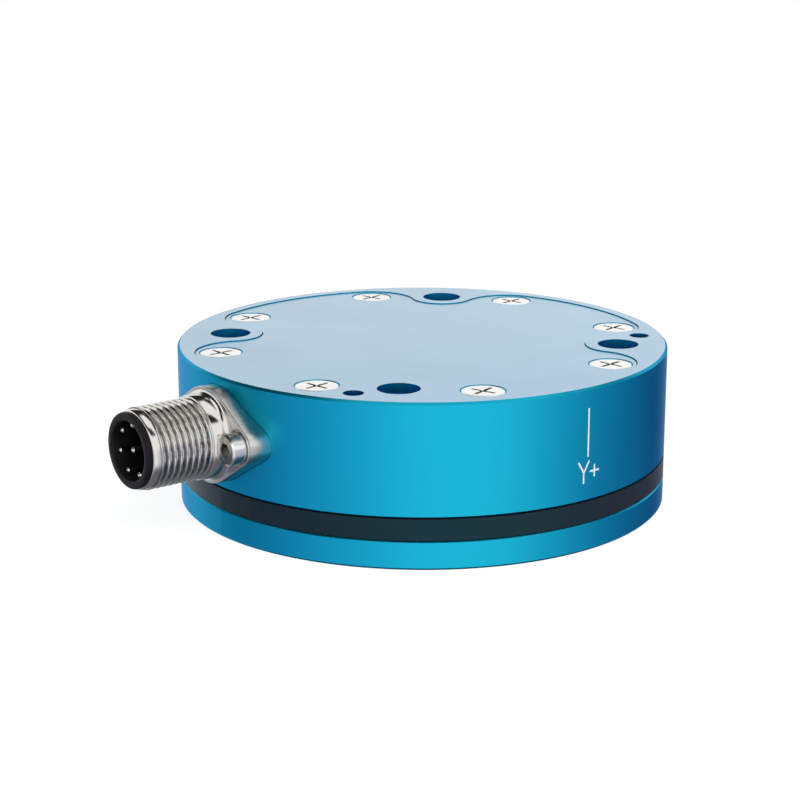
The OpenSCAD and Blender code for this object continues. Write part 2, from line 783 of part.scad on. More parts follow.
module connector_insert() {
    r = insert_d / 2;
    cup_r = r - cup_wall;
    key_w = 0.9;
    lip_bevel = 0.2;
    key_turn = 90 - 180 / contact_n;
    color([0.05, 0.05, 0.05]) {
        difference() {
            along_plug() rotate_extrude() polygon([
                [0, insert_back_x], [r, insert_back_x], [r, plug_front_x],
                [lip_d / 2, plug_front_x], [lip_d / 2, plug_reach - lip_bevel],
                [lip_d / 2 - lip_bevel, plug_reach], [lip_d / 2 - 2 * lip_bevel, plug_reach],
                [cup_r, plug_front_x], [cup_r, cup_x], [0, cup_x]
            ]);
            along_plug(insert_back_x - eps) contact_places()
                cylinder(d = contact_d, h = body_r);
        }
        // Keying rib on the cup's wall
        along_plug(cup_x - eps) rotate(key_turn)
            translate([cup_r - key_w / 2, -key_w / 2, 0])
                cube([key_w / 2 + cup_wall / 2, key_w, plug_front_x - cup_x]);
    }
}

module connector_pins() {
    tip = contact_d / 4;
    color("gold") along_plug() contact_places() {
        translate([0, 0, tail_x]) cylinder(d = contact_d, h = contact_x - tail_x - tip);
        translate([0, 0, contact_x - tip - eps])
            cylinder(d1 = contact_d, d2 = contact_d - 2 * tip, h = tip);
    }
}

module connector_gasket() {
    color([0.1, 0.1, 0.1]) along_plug(pocket_x)
        ring(shoulder_d / 2 - plug_gasket_in - locate_gap, insert_d / 2 + locate_gap,
            plug_gasket_t);
}

module connector_screws() {
    color("silver") for (side = [-1, 1])
        along_plug(spot_x) translate([side * ear_out, 0, 0]) cap_screw(m25, plug_screw_l);
}

// Sealing compound behind the insert, round the contacts' tails
module connector_potting() {
    color([0.2, 0.18, 0.15]) difference() {
        along_plug(potting_x) cylinder(d = insert_d, h = insert_back_x - potting_x);
        along_plug(tail_x) contact_places() cylinder(d = contact_d, h = body_r);
    }
}

// Flexible circuit: from the sealing compound through the window, up between the board and
// the chamber's wall, and over the board to its socket
module connector_flex() {
    low_z = ledge_top_z + window_sill + window_room;
    high_z = board_top_z + flex_rise;
    bend_x = (board_r + potting_x - flex_t) / 2;
    color([0.75, 0.45, 0.1]) translate([0, flex_w / 2, 0]) rotate([90, 0, 0])
        linear_extrude(flex_w) polygon([
            [flex_end_x, high_z], [bend_x, high_z], [bend_x, low_z], [potting_x, low_z],
            [potting_x, low_z + flex_t], [bend_x + flex_t, low_z + flex_t],
            [bend_x + flex_t, high_z + flex_t], [flex_end_x, high_z + flex_t]
        ]);
}

housing();
cover_plate();
cover_gasket();
cover_screws();
seal_ring();
tool_flange();
sensing_element();
rim_screws();
hub_screws();
hub_pins();
strain_gauges();
gauge_leads();
circuit_board();
board_standoffs();
board_screws();
processor_chip();
amplifier_chips();
converter_chip();
regulator_coil();
capacitors();
flex_socket();
connector_shell();
connector_insert();
connector_pins();
connector_gasket();
connector_screws();
connector_potting();
connector_flex();
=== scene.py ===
# %% [markdown]
# # A six-axis force torque sensor
#
# The real object is a low round aluminium body in two halves, with a black elastomer band
# between them, a screwed cover on top and a round threaded connector on its side. All its
# parts come from the CAD model at their real size. This lesson gives each of them the
# finish of the real material. It makes three of them again in more detail, the shell and
# the insert of the connector and the cover screws, and adds the mark of the Y axis.
#
# Everything is in metres. The tool face lies on z = 0, and the connector points along +X.

# %% Load the frame
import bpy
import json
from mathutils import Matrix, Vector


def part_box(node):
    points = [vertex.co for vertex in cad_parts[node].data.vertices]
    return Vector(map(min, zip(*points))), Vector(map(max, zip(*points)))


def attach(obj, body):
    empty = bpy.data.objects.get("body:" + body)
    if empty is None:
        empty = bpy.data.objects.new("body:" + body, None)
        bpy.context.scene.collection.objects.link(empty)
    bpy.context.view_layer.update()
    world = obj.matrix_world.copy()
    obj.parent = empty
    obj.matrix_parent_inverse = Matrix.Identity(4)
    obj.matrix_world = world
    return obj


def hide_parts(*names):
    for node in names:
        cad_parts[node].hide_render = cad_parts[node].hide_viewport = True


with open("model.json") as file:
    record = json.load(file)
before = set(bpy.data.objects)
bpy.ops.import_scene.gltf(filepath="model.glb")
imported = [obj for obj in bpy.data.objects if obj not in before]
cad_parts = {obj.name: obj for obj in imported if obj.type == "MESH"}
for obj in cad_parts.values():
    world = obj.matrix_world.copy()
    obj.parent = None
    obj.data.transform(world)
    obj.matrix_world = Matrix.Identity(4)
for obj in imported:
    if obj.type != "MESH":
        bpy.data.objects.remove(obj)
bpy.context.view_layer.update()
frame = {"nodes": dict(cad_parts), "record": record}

# %% Modules and units
import json
import math

import bmesh
import bpy
from mathutils import Matrix, Vector

MM = 0.001

# %% [markdown]
# ## Sizes
#
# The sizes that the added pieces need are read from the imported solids, as the lowest and
# highest corners of a part's box, so that they follow the CAD model. What a box can't tell
# is typed where it is needed, in millimetres.

# %% Sizes from the solids
body_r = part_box("housing")[1].y
shell_low, shell_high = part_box("connector_shell")
insert_low, insert_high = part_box("connector_insert")
plug_z = (shell_low.z + shell_high.z) / 2
shoulder_r = (shell_high.z - shell_low.z) / 2
print("body radius", round(body_r / MM, 2), "mm, connector axis at", round(plug_z / MM, 2), "mm")

# %% [markdown]
# ## Camera
#
# A product is shown best a little from above, so that its top and its side both read.
# A long lens far away keeps the ellipses calm. The camera is aimed near the middle of
# the body, and stands a little past half-way between the connector and the marked Y axis.

# %% Camera
camera_azimuth = 51.86
camera_elevation = 15.32
camera_distance = 316.67 * MM
camera_aim = Vector((2.68, -2.11, 14.42)) * MM
camera_lens = 91.8
film_width = 36.0


def direction(azimuth, elevation=0.0):
    """Unit vector at an azimuth from +X and an elevation, both in degrees."""
    a, e = math.radians(azimuth), math.radians(elevation)
    return Vector((math.cos(e) * math.cos(a), math.cos(e) * math.sin(a), math.sin(e)))


camera_data = bpy.data.cameras.new("camera")
camera_data.lens = camera_lens
camera_data.sensor_width = film_width
camera_data.clip_start = 0.01
camera_data.clip_end = 20.0
camera = bpy.data.objects.new("camera", camera_data)
bpy.context.scene.collection.objects.link(camera)
back = direction(camera_azimuth, camera_elevation)
camera.location = camera_aim + camera_distance * back
camera.rotation_euler = (-back).to_track_quat("-Z", "Y").to_euler()
bpy.context.scene.camera = camera
bpy.context.scene.view_settings.view_transform = "Standard"
print("camera at", [round(v / MM, 1) for v in camera.location], "mm")

# %% [markdown]
# ## Helpers for colours and nodes
#
# A colour is written as the sRGB hex value that a designer would pick, and one function
# turns it to the linear values that the shader wants. One function adds a node, with its
# settings and its inputs, where an input is a plain value or the output of another node.
# A material could also be joined up by hand in the Shader Editor; in code it is the same
# each time. Patterns are sized in millimetres.

# %% Colour and node helpers
def colour(hex_value):
    """Linear RGBA of an sRGB hex value such as "12aad2"."""
    parts = [int(hex_value[i:i + 2], 16) / 255 for i in (0, 2, 4)]
    linear = [p / 12.92 if p <= 0.04045 else ((p + 0.055) / 1.055) ** 2.4 for p in parts]
    return (*linear, 1.0)


def grey(level):
    """RGBA of a neutral linear brightness."""
    return (level, level, level, 1.0)


# A Mix node keeps its colour sockets after the ones for numbers and vectors
COLOUR_A, COLOUR_B, COLOUR_OUT = 6, 7, 2


def per_mm(size):
    """Texture scale at which one feature of a pattern is about size millimetres."""
    return 1 / (size * MM)


def add(tree, kind, settings=None, inputs=None):
    """Adds a node. settings are its properties, inputs its values or what feeds them."""
    node = tree.nodes.new(kind)
    for name, value in (settings or {}).items():
        setattr(node, name, value)
    for key, value in (inputs or {}).items():
        if isinstance(value, bpy.types.Node):
            value = next(o for o in value.outputs if o.enabled)
        if isinstance(value, bpy.types.NodeSocket):
            tree.links.new(value, node.inputs[key])
        else:
            node.inputs[key].default_value = value
    return node


# %% [markdown]
# ## Studio
#
# The object stands on a plain pale table before a white backdrop. Seen directly, table
# and backdrop are white. Metal shows the same backdrop, bright in front and behind and
# dimmer and cooler at the two sides, as it is between two large soft boxes: it is this
# change from light to dark that shows a round metal wall as round.

# %% Backdrop round the object
key_azimuth = camera_azimuth + 17

world = bpy.data.worlds.new("studio")
bpy.context.scene.world = world
world.use_nodes = True
tree = world.node_tree
tree.nodes.clear()
sight = add(tree, "ShaderNodeTexCoord").outputs["Generated"]
ahead = add(tree, "ShaderNodeVectorMath", {"operation": "DOT_PRODUCT"},
            {0: sight, 1: direction(key_azimuth)}).outputs["Value"]
aside = add(tree, "ShaderNodeVectorMath", {"operation": "DOT_PRODUCT"},
            {0: sight, 1: direction(key_azimuth + 90)}).outputs["Value"]
angle = add(tree, "ShaderNodeMath", {"operation": "ARCTAN2"}, {0: aside, 1: ahead})
around = add(tree, "ShaderNodeMapRange", {},
             {"Value": angle, "From Min": -math.pi, "From Max": math.pi})
backdrop = add(tree, "ShaderNodeValToRGB", {}, {"Fac": around})
# What metal shows near the table, by the angle in degrees from the front soft box:
# brightness, and how much of its red and green the dim, cool room takes away. Positive
# angles lie to the right.
room_by_angle = [(-180, 1.1, 0.0), (-150, 0.95, 0.0), (-116, 0.32, 0.36), (-80, 0.60, 0.28),
                 (-45, 0.87, 0.14), (-18, 1.10, 0.0), (18, 1.10, 0.0), (45, 0.72, 0.12),
                 (70, 0.50, 0.3), (100, 0.32, 0.4), (125, 0.28, 0.4), (150, 0.95, 0.0),
                 (180, 1.1, 0.0)]
ramp = backdrop.color_ramp
ramp.interpolation = "LINEAR"
while len(ramp.elements) < len(room_by_angle):
    ramp.elements.new(0.5)
for stop, (degrees, glow, cool) in zip(ramp.elements, room_by_angle):
    stop.position = 0.5 + degrees / 360
    stop.color = (glow * (1 - cool), glow * (1 - cool), glow, 1.0)
print("backdrop:", len(room_by_angle), "steps round the object")

# %% [markdown]
# Above the table's level the backdrop is bright all round, so the top is pale from any
# side. Overhead there are dark gaps between the soft boxes, and low down the table lies
# in shade: they draw the dark streaks on the round connector, and keep the broken edge
# of the top from shining. A height here is the Z of a direction, from -1 below to 1 above.

# %% Overhead and below
overhead_glow, gap_glow, shade_colour = 1.17, 0.02, (0.16, 0.17, 0.19, 1.0)
bright_from, bright_full = -0.05, 0.25
shade_from, shade_full = -0.50, -0.80
# Each gap: azimuth, least cosine of a direction's angle to it, lowest and highest height
overhead_gaps = [(camera_azimuth, 0.34, 0.66, 0.90), (camera_azimuth + 146, 0.40, 0.72, 0.90),
                 (camera_azimuth - 112, 0.30, 0.42, 0.88), (camera_azimuth + 124, 0.62, 0.46, 0.64)]
soft_step = 0.06

height = add(tree, "ShaderNodeSeparateXYZ", {}, {"Vector": sight}).outputs["Z"]
above = add(tree, "ShaderNodeMapRange", {"interpolation_type": "SMOOTHSTEP"},
            {"Value": height, "From Min": bright_from, "From Max": bright_full})
room = add(tree, "ShaderNodeMix", {"data_type": "RGBA"},
           {0: above, COLOUR_A: backdrop, COLOUR_B: grey(overhead_glow)}).outputs[COLOUR_OUT]
for gap_azimuth, reach, lowest, highest in overhead_gaps:
    toward = add(tree, "ShaderNodeVectorMath", {"operation": "DOT_PRODUCT"},
                 {0: sight, 1: direction(gap_azimuth)}).outputs["Value"]
    gap = add(tree, "ShaderNodeMapRange", {"interpolation_type": "SMOOTHSTEP"},
              {"Value": toward, "From Min": reach - soft_step, "From Max": reach})
    for start, end in [(lowest, lowest + soft_step), (highest + soft_step, highest)]:
        edge = add(tree, "ShaderNodeMapRange", {"interpolation_type": "SMOOTHSTEP"},
                   {"Value": height, "From Min": start, "From Max": end})
        gap = add(tree, "ShaderNodeMath", {"operation": "MULTIPLY"}, {0: gap, 1: edge})
    room = add(tree, "ShaderNodeMix", {"data_type": "RGBA"},
               {0: gap, COLOUR_A: room, COLOUR_B: grey(gap_glow)}).outputs[COLOUR_OUT]
shade = add(tree, "ShaderNodeMapRange", {"interpolation_type": "SMOOTHSTEP"},
            {"Value": height, "From Min": shade_from, "From Max": shade_full})
room = add(tree, "ShaderNodeMix", {"data_type": "RGBA"},
           {0: shade, COLOUR_A: room, COLOUR_B: shade_colour}).outputs[COLOUR_OUT]
print("overhead:", len(overhead_gaps), "gaps between the soft boxes")

# %% [markdown]
# Light Path tells who is looking. The camera sees plain white, metal sees the room, and
# matt surfaces get an even grey fill from it, so the room's streaks don't light them.

# %% World
def who_looks(tree):
    """Two masks: the rays from the camera, and those that metal or glass sends on."""
    ray = add(tree, "ShaderNodeLightPath").outputs
    mirrored = add(tree, "ShaderNodeMath", {"operation": "MAXIMUM"},
                   {0: ray["Is Glossy Ray"], 1: ray["Is Transmission Ray"]})
    return ray["Is Camera Ray"], mirrored


white = grey(1.0)
fill_level = 0.25
from_camera, from_metal = who_looks(tree)
shown = add(tree, "ShaderNodeMix", {"data_type": "RGBA"},
            {0: from_metal, COLOUR_A: grey(fill_level), COLOUR_B: room}).outputs[COLOUR_OUT]
shown = add(tree, "ShaderNodeMix", {"data_type": "RGBA"},
            {0: from_camera, COLOUR_A: shown, COLOUR_B: white}).outputs[COLOUR_OUT]
sky = add(tree, "ShaderNodeBackground", {}, {"Color": shown, "Strength": 1.0})
add(tree, "ShaderNodeOutputWorld", {}, {"Surface": sky})
print("world: white to the camera, fill", fill_level, "to matt surfaces")

# %% [markdown]
# ### Table
#
# The table is white wherever light reaches it, and keeps the object's soft shadow. Metal
# looks through it at the same backdrop, as if the table were lit evenly. It lies a hair
# below the object, so that the two faces never fall together.

# %% Floor
def mesh_object(name, mesh):
    """New object with this mesh, at the origin."""
    made = bpy.data.objects.new(name, mesh)
    bpy.context.scene.collection.objects.link(made)
    return made


floor_half = 3.0
floor_level = -0.02 * MM
table_glow = 0.86
floor_mesh = bpy.data.meshes.new("floor")
corners = [(-1, -1), (1, -1), (1, 1), (-1, 1)]
floor_mesh.from_pydata([(x * floor_half, y * floor_half, floor_level) for x, y in corners],
                       [], [(0, 1, 2, 3)])
floor = mesh_object("floor", floor_mesh)
floor_material = bpy.data.materials.new("white_table")
floor_material.use_nodes = True
tree = floor_material.node_tree
tree.nodes.clear()
matt = add(tree, "ShaderNodeBsdfDiffuse", {}, {"Color": colour("e6e6e6")})
lit = add(tree, "ShaderNodeEmission", {}, {"Color": white, "Strength": table_glow})
faint = add(tree, "ShaderNodeBsdfDiffuse", {}, {"Color": colour("8c8c8c")})
seen = add(tree, "ShaderNodeAddShader", {}, {0: lit, 1: faint})
clear = add(tree, "ShaderNodeBsdfTransparent")
from_camera, from_metal = who_looks(tree)
table = add(tree, "ShaderNodeMixShader", {}, {0: from_metal, 1: matt, 2: clear})
table = add(tree, "ShaderNodeMixShader", {}, {0: from_camera, 1: table, 2: seen})
add(tree, "ShaderNodeOutputMaterial", {}, {"Surface": table})
floor.data.materials.append(floor_material)
print("table at", round(floor_level / MM, 3), "mm")

# %% [markdown]
# ### Lamps
#
# Matt surfaces are lit by one large soft box over the camera's right shoulder and a
# weaker one behind. Metal doesn't see these lamps, because its soft boxes are already in
# the room around it.

# %% Lamps
def soft_box(name, azimuth, elevation, distance, size, power):
    """Square area lamp that looks at the middle of the body."""
    data = bpy.data.lights.new(name, "AREA")
    data.shape = "SQUARE"
    data.size = size
    data.energy = power
    lamp = bpy.data.objects.new(name, data)
    bpy.context.scene.collection.objects.link(lamp)
    out = direction(azimuth, elevation)
    lamp.location = out * distance
    lamp.rotation_euler = (-out).to_track_quat("-Z", "Y").to_euler()
    lamp.visible_camera = False
    lamp.visible_glossy = False
    return lamp


key_box = soft_box("key_soft_box", azimuth=key_azimuth, elevation=35, distance=0.9,
                   size=0.55, power=5.5)
back_box = soft_box("back_soft_box", azimuth=camera_azimuth + 180, elevation=40, distance=1.0,
                    size=0.7, power=3.0)
print("lamps:", key_box.name, "and", back_box.name)

# %% [markdown]
# ## Finishes
#
# A finish starts from what the material is and how its surface was made. They are built
# the same way: a slow cloud moves the colour and the roughness a little, because no made
# surface is perfectly even, and a fine grain lifts the surface. What differs is the
# colour, how metallic and how rough it is, and the size of cloud and grain. Some metals
# also get painted shade in their recesses: a darker colour where Ambient Occlusion finds them.
#
# An image could be wrapped round each part instead. Noise on Object coordinates needs no
# unwrapping, and stays sharp from near. After the two colours come how metallic and how
# rough a finish is, and then three sizes in millimetres: cloud, grain and the grain's relief.

# %% Finish recipe
cloud_low, cloud_high = 0.25, 0.75
# Ambient Occlusion at which the painted shade in recesses is full, and at which it is gone
recess_shade_full, recess_shade_gone = 0.35, 0.75


def finish(name, light, dark, metallic, roughness, cloud_mm, grain_mm, bump_mm,
           rough_spread=0.05, recess_shade="", recess_shade_mm=1.0, **uniform):
    """Finish whose colour drifts over a cloud, with a fine grain and painted shade in recesses."""
    material = bpy.data.materials.new(name)
    material.use_nodes = True
    nodes = material.node_tree
    nodes.nodes.clear()
    shader = add(nodes, "ShaderNodeBsdfPrincipled")
    add(nodes, "ShaderNodeOutputMaterial", {}, {"Surface": shader})
    place = add(nodes, "ShaderNodeTexCoord").outputs["Object"]
    cloud = add(nodes, "ShaderNodeTexNoise", {},
                {"Vector": place, "Scale": per_mm(cloud_mm), "Detail": 3.0}).outputs["Fac"]
    grain = add(nodes, "ShaderNodeTexNoise", {},
                {"Vector": place, "Scale": per_mm(grain_mm), "Detail": 2.0}).outputs["Fac"]
    tint = add(nodes, "ShaderNodeMix", {"data_type": "RGBA"},
               {0: cloud, COLOUR_A: colour(dark), COLOUR_B: colour(light)}).outputs[COLOUR_OUT]
    rough = add(nodes, "ShaderNodeMapRange", {},
                {"Value": cloud, "From Min": cloud_low, "From Max": cloud_high,
                 "To Min": roughness - rough_spread, "To Max": roughness + rough_spread})
    bump = add(nodes, "ShaderNodeBump", {},
               {"Strength": 1.0, "Distance": bump_mm * MM, "Height": grain})
    # Painted shade: the colour turns to the recess colour where Ambient Occlusion finds other
    # surface close by
    if recess_shade:
        open_sky = add(nodes, "ShaderNodeAmbientOcclusion", {"samples": 8, "only_local": True},
                       {"Distance": recess_shade_mm * MM}).outputs["AO"]
        unshaded = add(nodes, "ShaderNodeMapRange", {"interpolation_type": "SMOOTHSTEP"},
                    {"Value": open_sky, "From Min": recess_shade_full, "From Max": recess_shade_gone})
        tint = add(nodes, "ShaderNodeMix", {"data_type": "RGBA"},
                   {0: unshaded, COLOUR_A: colour(recess_shade), COLOUR_B: tint}).outputs[COLOUR_OUT]
    nodes.links.new(tint, shader.inputs["Base Color"])
    nodes.links.new(rough.outputs["Result"], shader.inputs["Roughness"])
    nodes.links.new(bump.outputs["Normal"], shader.inputs["Normal"])
    shader.inputs["Metallic"].default_value = metallic
    for socket, value in uniform.items():
        shader.inputs[socket.replace("_", " ")].default_value = value
    return material


# %% [markdown]
# ### Blue anodised aluminium
#
# The body is turned from aluminium, blasted with fine beads and anodised. Blasting gives
# it an even satin: soft reflections with no lines. The oxide is clear and dyed, so light
# reaches the metal through the dye and comes back cyan-blue: a metal with a coloured
# base. The faces that face up or down get a paler blue, a painted sheen, and a strong
# coat, which gives them a real pale sheen at a low angle, while the wall keeps its deep
# colour. In bores and grooves the blue is painted deeper: painted shade, where Ambient
# Occlusion finds other surface close by.

# %% Blue anodised aluminium
anodised = finish("anodised_aluminium_blasted", "04badb", "04b1d5", 1.0, 0.36, 14.0, 0.30,
                  0.0012, 0.03, Coat_IOR=1.8, Coat_Roughness=0.22)
nodes = anodised.node_tree
shader = nodes.nodes["Principled BSDF"]
dyed = shader.inputs["Base Color"].links[0].from_socket
print("body finish:", anodised.name)

# %% Flat faces of the blue parts: painted sheen and a stronger coat
flat_from, flat_full = 0.8, 0.97
wall_coat, flat_coat = 0.12, 1.0

normal = add(nodes, "ShaderNodeSeparateXYZ", {},
             {"Vector": add(nodes, "ShaderNodeTexCoord").outputs["Normal"]})
upright = add(nodes, "ShaderNodeMath", {"operation": "ABSOLUTE"}, {0: normal.outputs["Z"]})
flat = add(nodes, "ShaderNodeMapRange", {"interpolation_type": "SMOOTHSTEP"},
           {"Value": upright, "From Min": flat_from, "From Max": flat_full}).outputs["Result"]
coat = add(nodes, "ShaderNodeMapRange", {},
           {"Value": flat, "To Min": wall_coat, "To Max": flat_coat}).outputs["Result"]
edge_tint = add(nodes, "ShaderNodeMix", {"data_type": "RGBA"},
                {0: flat, COLOUR_A: colour("6aa6d6"), COLOUR_B: colour("ffffff")})
# Painted sheen: the faces that face up or down get a paler blue
dye_and_painted_light = add(nodes, "ShaderNodeMix", {"data_type": "RGBA"},
          {0: flat, COLOUR_A: dyed, COLOUR_B: colour("49a2cb")}).outputs[COLOUR_OUT]
nodes.links.new(coat, shader.inputs["Coat Weight"])
nodes.links.new(edge_tint.outputs[COLOUR_OUT], shader.inputs["Specular Tint"])
print("coat:", wall_coat, "on the wall and", flat_coat, "on flat faces")

# %% Painted shade in the bores and grooves of the blue parts
groove_mm = 3.0
groove_shade_from, groove_shade_full = 0.95, 0.45

# Painted shade: the blue turns deeper where Ambient Occlusion finds a wall close by
open_sky = add(nodes, "ShaderNodeAmbientOcclusion", {"samples": 8, "only_local": True},
               {"Distance": groove_mm * MM}).outputs["AO"]
deep = add(nodes, "ShaderNodeMapRange", {"interpolation_type": "SMOOTHSTEP"},
           {"Value": open_sky, "From Min": groove_shade_from, "From Max": groove_shade_full})
dye_and_painted_light = add(nodes, "ShaderNodeMix", {"data_type": "RGBA"},
          {0: deep, COLOUR_A: dye_and_painted_light, COLOUR_B: colour("409ee6")}).outputs[COLOUR_OUT]
nodes.links.new(dye_and_painted_light, shader.inputs["Base Color"])
print("deeper blue within", groove_mm, "mm of a wall")

# %% [markdown]
# ### Other metals
#
# The sensing element is bare machined aluminium. The small screws are stainless steel,
# bright from cold forming, and the element's screws are black oxide steel. The connector
# is brass under nickel, a little yellow: bright where it was turned, satin on its milled
# flange. Its contacts have a flash of gold so thin that they look like pale nickel. What
# sets these metals apart is how rough they are, more than their colour, so each has one
# roughness of its own. The screws and the thread are painted darker in their recesses:
# painted shade, where Ambient Occlusion finds other surface close by.

# %% Other metals
# Milled aluminium: bright silver, a little cool
bare_aluminium = finish("bare_aluminium_milled", "dcdde0", "cfd0d4", 1.0, 0.28, 6.0, 0.25, 0.0015)
# Formed stainless steel: bright heads, with painted shade in the cross recess
stainless = finish("stainless_steel_formed", "f1efec", "e7e5e2", 1.0, 0.24, 2.0, 0.20, 0.0004,
                   recess_shade="2a2624", recess_shade_mm=1.2)
# Black oxide on steel: dark grey, with a low and broad shine
black_steel = finish("black_oxide_steel", "2c2c2f", "1e1e21", 1.0, 0.42, 2.0, 0.20, 0.0015)
# Nickel on turned brass: nearly a mirror, a little yellow, with painted shade in the thread roots
nickel = finish("nickel_plated_brass", "dddbd7", "cfcdc9", 1.0, 0.15, 4.0, 0.25, 0.0004, 0.04,
                recess_shade="8a8682", recess_shade_mm=0.9)
# Nickel on milled brass: the same colour, but satin
satin_nickel = finish("nickel_plated_brass_milled", "d6d4d0", "c8c6c2", 1.0, 0.27, 4.0, 0.20,
                      0.0010)
# Gold flash on nickel: pale and warm, nearly white
gold = finish("gold_flashed_nickel", "f3ecdc", "ebe1cb", 1.0, 0.25, 1.5, 0.20, 0.0005)
# Enamelled copper: red-brown and glossy
copper_wire = finish("enamelled_copper", "b4552c", "97401f", 0.9, 0.25, 1.0, 0.15, 0.0005)
print("connector finishes:", nickel.name, "and", satin_nickel.name)

# %% [markdown]
# ### Rubber and plastics
#
# The band and the gaskets are moulded nitrile rubber: a warm black. Its faint shine is
# tinted cyan, a painted reflection of the blue walls on both sides of it. The connector's
# insert is black moulded polyamide, nearly matt. The parts inside are plastics, ceramics
# and compounds, which the same recipe covers: they differ in colour, in shine and in the
# size of grain.

# %% Rubber and plastics
# Moulded rubber: warm black, with a faint shine tinted blue, a painted reflection of the walls
elastomer = finish("nitrile_rubber_moulded", "1d1b19", "171614", 0.0, 0.4, 5.0, 0.35, 0.002,
                   Specular_IOR_Level=0.9, Specular_Tint=colour("2fb0d0"))
# Moulded polyamide: deep black, with almost no shine
black_plastic = finish("polyamide_moulded_black", "0e0e10", "08080a", 0.0, 0.5, 3.0, 0.30, 0.002,
                       Specular_IOR_Level=0.25)
# Moulded liquid crystal polymer: matt ivory
natural_plastic = finish("liquid_crystal_polymer", "d9d0b8", "cdc3a9", 0.0, 0.5, 2.0, 0.2, 0.002)
# Cast sealing compound: dark brown, as if wet
sealant = finish("sealing_compound_cast", "3a342d", "2d2822", 0.0, 0.3, 2.0, 0.6, 0.004)
# Moulded chip epoxy: charcoal and finely matt
chip_epoxy = finish("chip_epoxy_moulded", "242427", "1b1b1e", 0.0, 0.5, 2.0, 0.12, 0.003)
# Sintered ferrite: dark grey and coarse
ferrite = finish("ferrite_sintered", "3b3b3d", "2a2a2c", 0.1, 0.55, 1.5, 0.15, 0.006)
# Fired ceramic: tan, with a soft shine
ceramic = finish("capacitor_ceramic_fired", "b59a76", "a3875f", 0.0, 0.4, 0.8, 0.12, 0.002)
# Polyimide film: amber and glossy
polyimide = finish("polyimide_film", "c97f22", "b86d17", 0.0, 0.22, 1.2, 0.3, 0.001)
# Lacquered circuit board laminate: glossy green
laminate = finish("glass_epoxy_laminate", "14663a", "0f5730", 0.0, 0.32, 3.0, 0.5, 0.003)
print("band finish:", elastomer.name)

# %% [markdown]
# Each CAD part belongs to one of the record's material slots, so one table gives every
# part its finish. The parts could be dressed one by one, but then a new one is forgotten.

# %% Give each CAD part its finish
finish_of_slot = {
    "blue_anodised_aluminium": anodised,
    "bare_aluminium": bare_aluminium,
    "stainless_steel": stainless,
    "black_oxide_steel": black_steel,
    "black_elastomer": elastomer,
    "nickel_plated_brass": nickel,
    "black_plastic": black_plastic,
    "gold_plated_brass": gold,
    "circuit_board_laminate": laminate,
    "chip_epoxy": chip_epoxy,
    "ferrite": ferrite,
    "ceramic": ceramic,
    "natural_plastic": natural_plastic,
    "polyimide_film": polyimide,
    "sealing_compound": sealant,
    "enamelled_copper": copper_wire,
}
for part in frame["record"]["subparts"]:
    slots = frame["nodes"][part["node"]].data.materials
    for index in range(len(slots)):
        slots[index] = finish_of_slot[part["material_slot"]]

# %% [markdown]
# ## Added pieces
#
# Nearly every added piece is a row of loops joined by quads. A loop has the same number
# of points as the next, so it may be a circle, the outline of a cross recess or the section
# of a stroke. One helper joins them, and closes the piece at both ends or onto itself.
# Booleans on cylinders would give the same forms, with long thin faces at each cut.

# %% Loops to a mesh
def skin(name, loops, ring=False):
    """Closed mesh through loops of points, capped at both ends or joined as a ring."""
    mesh = bpy.data.meshes.new(name)
    build = bmesh.new()
    rows = [[build.verts.new(point) for point in loop] for loop in loops]
    pairs = list(zip(rows, rows[1:]))
    if ring:
        pairs.append((rows[-1], rows[0]))
    for row, above in pairs:
        for k in range(len(row)):
            after = (k + 1) % len(row)
            build.faces.new((row[k], row[after], above[after], above[k]))
    if not ring:
        build.faces.new(reversed(rows[0]))
        build.faces.new(rows[-1])
    bmesh.ops.recalc_face_normals(build, faces=build.faces)
    build.to_mesh(mesh)
    build.free()
    return mesh


def smooth(mesh, sharp_above):
    """Smooth shading, except over edges that turn by more than an angle in degrees."""
    mesh.shade_smooth()
    mesh.set_sharp_from_angle(angle=math.radians(sharp_above))


def count(mesh):
    """Number of triangles of a mesh."""
    mesh.calc_loop_triangles()
    return len(mesh.loop_triangles)


# %% [markdown]
# ### Connector shell
#
# The shell is turned from brass and nickel plated: a flange, a short neck, the M12x1
# coupling thread and a plain collar in front. The barrel is made as on a lathe, as one
# closed profile round the connector's axis. Where the thread will be, the profile has
# many rows close together, so that it can be cut into them.

# %% Turn the barrel
plug_back, barrel_front = shell_low.x, shell_high.x
flange_front = plug_back + 3.8 * MM
barrel_back = plug_back + 0.7 * MM
neck_r, crest_r, collar_r, bore_r = 6.15 * MM, 5.95 * MM, 5.75 * MM, 4.75 * MM
fillet, fillet_steps, tuck = 0.7 * MM, 8, 0.1 * MM
thread_start, thread_end = barrel_front - 9.7 * MM, barrel_front - 1.2 * MM
pitch, thread_depth = 1.0 * MM, 0.6 * MM
soft_edge = 0.08 * MM
front_edge = 3 * soft_edge
rows_per_turn, points_round = 14, 144

profile = [(barrel_back, bore_r), (barrel_back, neck_r + fillet),
           (flange_front - tuck, neck_r + fillet)]
for step in range(fillet_steps + 1):
    turn = math.radians(90 * step / fillet_steps)
    profile.append((flange_front + fillet * (1 - math.cos(turn)),
                    neck_r + fillet * (1 - math.sin(turn))))
profile += [(thread_start - soft_edge, neck_r), (thread_start, neck_r - soft_edge),
            (thread_start, crest_r)]
thread_rows = round((thread_end - thread_start) / pitch * rows_per_turn)
profile += [(thread_start + (thread_end - thread_start) * k / thread_rows, crest_r)
            for k in range(1, thread_rows)]
profile += [(thread_end, crest_r), (thread_end, collar_r), (barrel_front - front_edge, collar_r),
            (barrel_front, collar_r - front_edge), (barrel_front, bore_r)]


